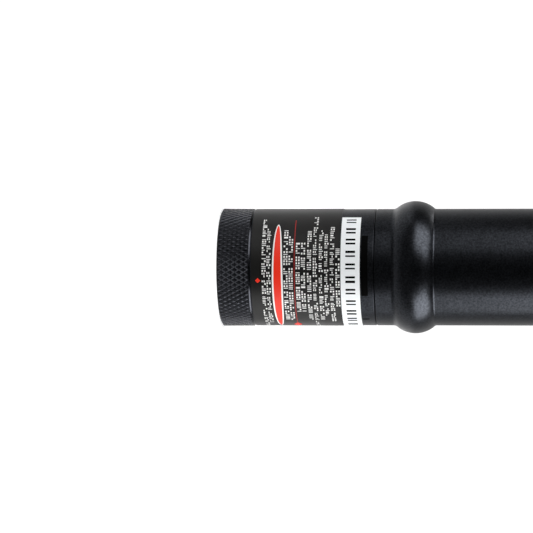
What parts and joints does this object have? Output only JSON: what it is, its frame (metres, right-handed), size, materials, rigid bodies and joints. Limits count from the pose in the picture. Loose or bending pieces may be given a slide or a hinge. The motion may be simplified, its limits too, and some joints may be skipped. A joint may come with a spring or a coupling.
{
  "type": "laser pointer",
  "caption": "Handheld laser pointer: slim cylindrical tube with a knurled bezel ring, printed head, domed grip ring, screw-on tail cap and a push button in its end.",
  "frame": {"origin": "centre of the front face, on the surface that the pointer stands on, head down", "axes": "+Z along the tube from the head to the tail, -Y towards the front of the printed label"},
  "size_m": [0.025, 0.025, 0.126],
  "materials": {
    "anodised_knurl": "knurled, black anodised",
    "anodised_black": "bead-blasted, black anodised",
    "window_glass": "coated, clear",
    "black_rubber": "moulded nitrile rubber",
    "printed_film": "matte black film with small printed marks",
    "white_tape": "white label tape with plain black marks",
    "turned_brass": "turned",
    "anodised_optic": "matte black anodised optic mount",
    "lens_glass": "polished, coated",
    "filter_glass": "blue-green absorbing glass",
    "crystal": "polished, faint violet",
    "gold_can": "gold-plated can",
    "circuit_board": "green solder mask",
    "chip_plastic": "moulded black epoxy",
    "trimmer_plastic": "blue moulded case",
    "capacitor_can": "drawn can",
    "ferrite": "sintered grey ferrite",
    "spring_steel": "nickel-plated wire",
    "insulator_plastic": "natural moulded plastic",
    "cell_wrap": "shrink wrap, plain blue-grey",
    "switch_plastic": "moulded black plastic",
    "plunger_plastic": "moulded pale plastic",
    "button_rubber": "moulded black silicone rubber"
  },
  "bodies": {
    "barrel": {"bezel_ring": "anodised_knurl", "window": "window_glass", "window_gasket": "black_rubber", "head_shell": "anodised_black", "label_film": "printed_film", "number_strip": "white_tape", "module_barrel": "turned_brass", "lens_cell": "anodised_optic", "collimating_lens": "lens_glass", "infrared_filter": "filter_glass", "expander_holder": "anodised_optic", "expander_lens": "lens_glass", "crystal_holder": "turned_brass", "laser_crystal": "crystal", "pump_diode": "gold_can", "diode_lock_ring": "turned_brass", "driver_board": "circuit_board", "driver_chip": "chip_plastic", "current_trimmer": "trimmer_plastic", "driver_capacitor": "capacitor_can", "driver_inductor": "ferrite", "module_lock_ring": "turned_brass", "front_contact_spring": "spring_steel", "contact_insulator": "insulator_plastic", "battery_tube": "anodised_black", "battery_front": "cell_wrap", "battery_rear": "cell_wrap"},
    "tail_seal": {"tail_seal": "black_rubber"},
    "tail_cap": {"tail_cap": "anodised_black", "tail_contact_spring": "spring_steel", "switch_retainer": "turned_brass", "switch_board": "circuit_board", "switch_body": "switch_plastic"},
    "tail_button": {"tail_button": "button_rubber", "switch_plunger": "plunger_plastic"}
  },
  "joints": [
    {"name": "tail_cap_travel", "type": "slide", "parent": "barrel", "child": "tail_seal", "axis": [0, 0, 1], "range_m": [0, 0.00701]},
    {"name": "tail_cap_turn", "type": "hinge", "parent": "tail_seal", "child": "tail_cap", "pos_m": [0, 0, 0.108], "axis": [0, 0, 1], "range_deg": [0, 2520]},
    {"name": "button_press", "type": "slide", "parent": "tail_cap", "child": "tail_button", "axis": [0, 0, -1], "range_m": [0, 0.0012], "stiffness_N_per_m": 2000, "springref_m": -0.0005}
  ],
  "couplings": [
    {"joint": "tail_cap_travel", "follows": "tail_cap_turn", "m_per_rad": 0.00015915}
  ]
}
